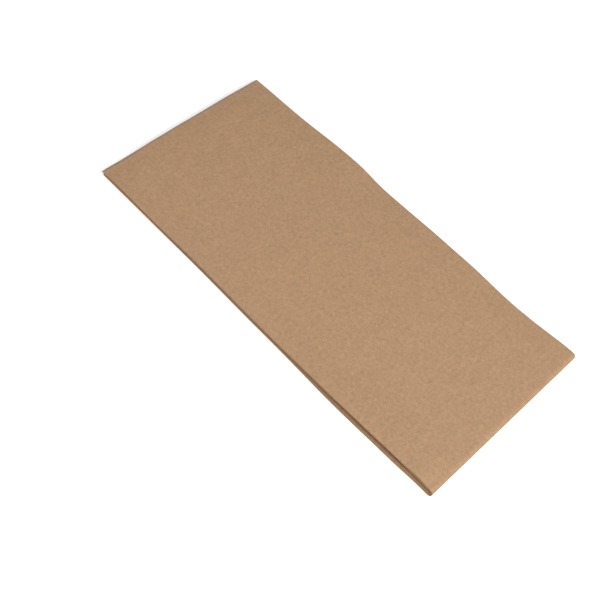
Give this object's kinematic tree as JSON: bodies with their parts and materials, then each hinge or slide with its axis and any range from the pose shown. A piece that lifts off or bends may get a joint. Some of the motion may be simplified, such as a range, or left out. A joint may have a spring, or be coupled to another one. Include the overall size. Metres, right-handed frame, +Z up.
{
  "type": "folded paper dinner napkin",
  "caption": "Unbleached brown paper dinner napkin: a square-cornered sheet folded flat into a long rectangle, with one open and one closed edge each way.",
  "frame": {"origin": "centre of the underside of the folded napkin's box", "axes": "+X along the folded napkin towards the closed cross fold, +Y across it towards the closed long fold, +Z up through the stack of layers"},
  "size_m": [0.204, 0.0962, 0.0037],
  "materials": {
    "brown_tissue": "matte unbleached brown tissue, with fine fibre mottling and sparse dark specks"
  },
  "bodies": {
    "root": {"napkin": "brown_tissue"}
  },
  "joints": []
}
